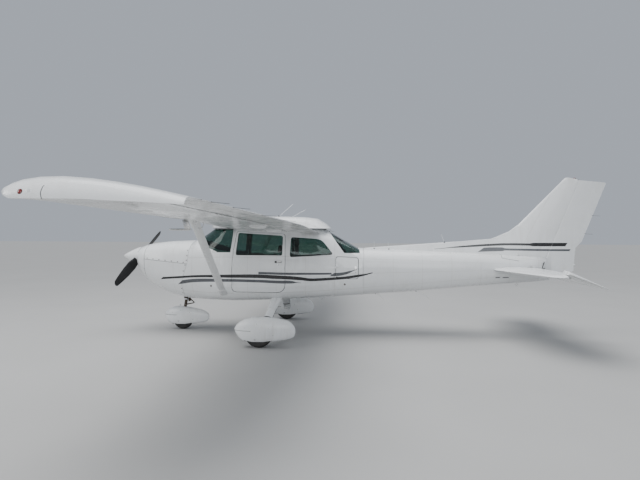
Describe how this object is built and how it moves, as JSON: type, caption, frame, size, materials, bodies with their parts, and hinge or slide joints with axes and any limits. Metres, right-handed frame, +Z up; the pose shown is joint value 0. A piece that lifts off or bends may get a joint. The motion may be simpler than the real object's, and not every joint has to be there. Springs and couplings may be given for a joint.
{
  "type": "single-engine high-wing light aircraft",
  "caption": "High-wing, strut-braced four-seat light aircraft with fixed nose-wheel gear, wheel fairings, cabin doors and working control surfaces.",
  "frame": {"origin": "on the ground under the middle of the overall box, tyres' lowest points at z = 0", "axes": "+X aft to the tail, +Y to starboard, +Z up"},
  "size_m": [8.241, 10.9754, 2.644],
  "materials": {
    "white_paint": "glossy white paint, slightly weathered",
    "white_steel": "glossy white paint on steel",
    "black_blade": "satin black",
    "tyre_rubber": "matt rubber",
    "wheel_metal": "satin metal",
    "dark_steel": "dark satin steel",
    "bright_steel": "plain sheet steel",
    "engine_iron": "dull cast metal",
    "glazing": "green-tinted clear sheet",
    "seat_cloth": "dark cloth",
    "panel_black": "matt black"
  },
  "bodies": {
    "airframe": {"cabin_shell": "white_paint", "windshield": "glazing", "rear_window": "glazing", "side_window_left": "glazing", "side_window_right": "glazing", "roof": "white_paint", "nose_cap": "white_paint", "cowl_upper": "white_paint", "cowl_lower": "white_paint", "firewall": "bright_steel", "engine": "engine_iron", "exhaust": "dark_steel", "instrument_panel": "panel_black", "front_seat_left": "seat_cloth", "front_seat_right": "seat_cloth", "rear_bench": "seat_cloth", "wing_left": "white_paint", "wing_tip_left": "white_paint", "strut_left": "white_paint", "wing_right": "white_paint", "wing_tip_right": "white_paint", "strut_right": "white_paint", "stabilizer": "white_paint", "fin": "white_paint", "tail_cone": "white_paint", "pant_left": "white_paint", "gear_leg_left": "white_steel", "pant_right": "white_paint", "gear_leg_right": "white_steel", "nose_strut": "white_steel"},
    "propeller": {"propeller": "black_blade", "spinner": "white_paint"},
    "nose_gear": {"nose_fork": "dark_steel", "nose_pant": "white_paint"},
    "nose_wheel": {"tyre_nose": "tyre_rubber", "rim_nose": "wheel_metal"},
    "wheel_left": {"tyre_left": "tyre_rubber", "rim_left": "wheel_metal"},
    "wheel_right": {"tyre_right": "tyre_rubber", "rim_right": "wheel_metal"},
    "door_left": {"door_left": "white_paint", "door_glass_left": "glazing"},
    "door_right": {"door_right": "white_paint", "door_glass_right": "glazing"},
    "baggage_door": {"baggage_door": "white_paint"},
    "rudder": {"rudder": "white_paint"},
    "elevator": {"elevator": "white_paint"},
    "trim_tab": {"trim_tab": "white_paint"},
    "aileron_left": {"aileron_left": "white_paint"},
    "aileron_right": {"aileron_right": "white_paint"},
    "flap_left": {"flap_left": "white_paint"},
    "flap_right": {"flap_right": "white_paint"}
  },
  "joints": [
    {"name": "propeller_spin", "type": "hinge", "parent": "airframe", "child": "propeller", "pos_m": [-3.8195, 0, 1.285], "axis": [-1, 0, 0], "continuous": true},
    {"name": "nose_steer", "type": "hinge", "parent": "airframe", "child": "nose_gear", "pos_m": [-3.0065, 0, 0.172], "axis": [0.1392, 0, 0.9903], "range_deg": [-30, 30]},
    {"name": "nose_wheel_roll", "type": "hinge", "parent": "nose_gear", "child": "nose_wheel", "pos_m": [-3.0065, 0, 0.172], "axis": [0, -1, 0], "continuous": true},
    {"name": "left_wheel_roll", "type": "hinge", "parent": "airframe", "child": "wheel_left", "pos_m": [-1.3545, -1.265, 0.21], "axis": [0, -1, 0], "continuous": true},
    {"name": "right_wheel_roll", "type": "hinge", "parent": "airframe", "child": "wheel_right", "pos_m": [-1.3545, 1.265, 0.21], "axis": [0, -1, 0], "continuous": true},
    {"name": "left_door_hinge", "type": "hinge", "parent": "airframe", "child": "door_left", "pos_m": [-1.981, -0.552, 1], "axis": [0, 0, -1], "range_deg": [0, 70]},
    {"name": "right_door_hinge", "type": "hinge", "parent": "airframe", "child": "door_right", "pos_m": [-1.981, 0.552, 1], "axis": [0, 0, 1], "range_deg": [0, 70]},
    {"name": "baggage_door_hinge", "type": "hinge", "parent": "airframe", "child": "baggage_door", "pos_m": [-0.271, -0.503, 1.08], "axis": [0, 0, -1], "range_deg": [0, 85]},
    {"name": "rudder_hinge", "type": "hinge", "parent": "airframe", "child": "rudder", "pos_m": [3.2637, 0, 1.5], "axis": [0.3666, 0, 0.9304], "range_deg": [-17, 17]},
    {"name": "elevator_hinge", "type": "hinge", "parent": "airframe", "child": "elevator", "pos_m": [2.9855, 0, 1.12], "axis": [0, -1, 0], "range_deg": [0, 50.5]},
    {"name": "trim_tab_hinge", "type": "hinge", "parent": "elevator", "child": "trim_tab", "pos_m": [3.29038, 0, 0.99371], "axis": [0, -1, 0], "range_deg": [-22, 19]},
    {"name": "left_aileron_hinge", "type": "hinge", "parent": "airframe", "child": "aileron_left", "pos_m": [-0.9415, -2.54309, 1.82519], "axis": [-0.0768, -0.9968, 0.0219], "range_deg": [-17.5, 17.5]},
    {"name": "right_aileron_hinge", "type": "hinge", "parent": "airframe", "child": "aileron_right", "pos_m": [-0.9415, 2.54309, 1.82519], "axis": [0.0768, -0.9968, -0.0219], "range_deg": [-17.5, 17.5]},
    {"name": "left_flap_travel", "type": "hinge", "parent": "airframe", "child": "flap_left", "pos_m": [-1.046, -0.57035, 1.36778], "axis": [0, 0.9995, -0.0302], "range_deg": [0, 30]},
    {"name": "right_flap_travel", "type": "hinge", "parent": "airframe", "child": "flap_right", "pos_m": [-1.046, 0.57035, 1.36778], "axis": [0, 0.9995, 0.0302], "range_deg": [0, 30]}
  ],
  "couplings": [
    {"joint": "right_aileron_hinge", "follows": "left_aileron_hinge", "ratio": -1},
    {"joint": "right_flap_travel", "follows": "left_flap_travel", "ratio": 1}
  ]
}
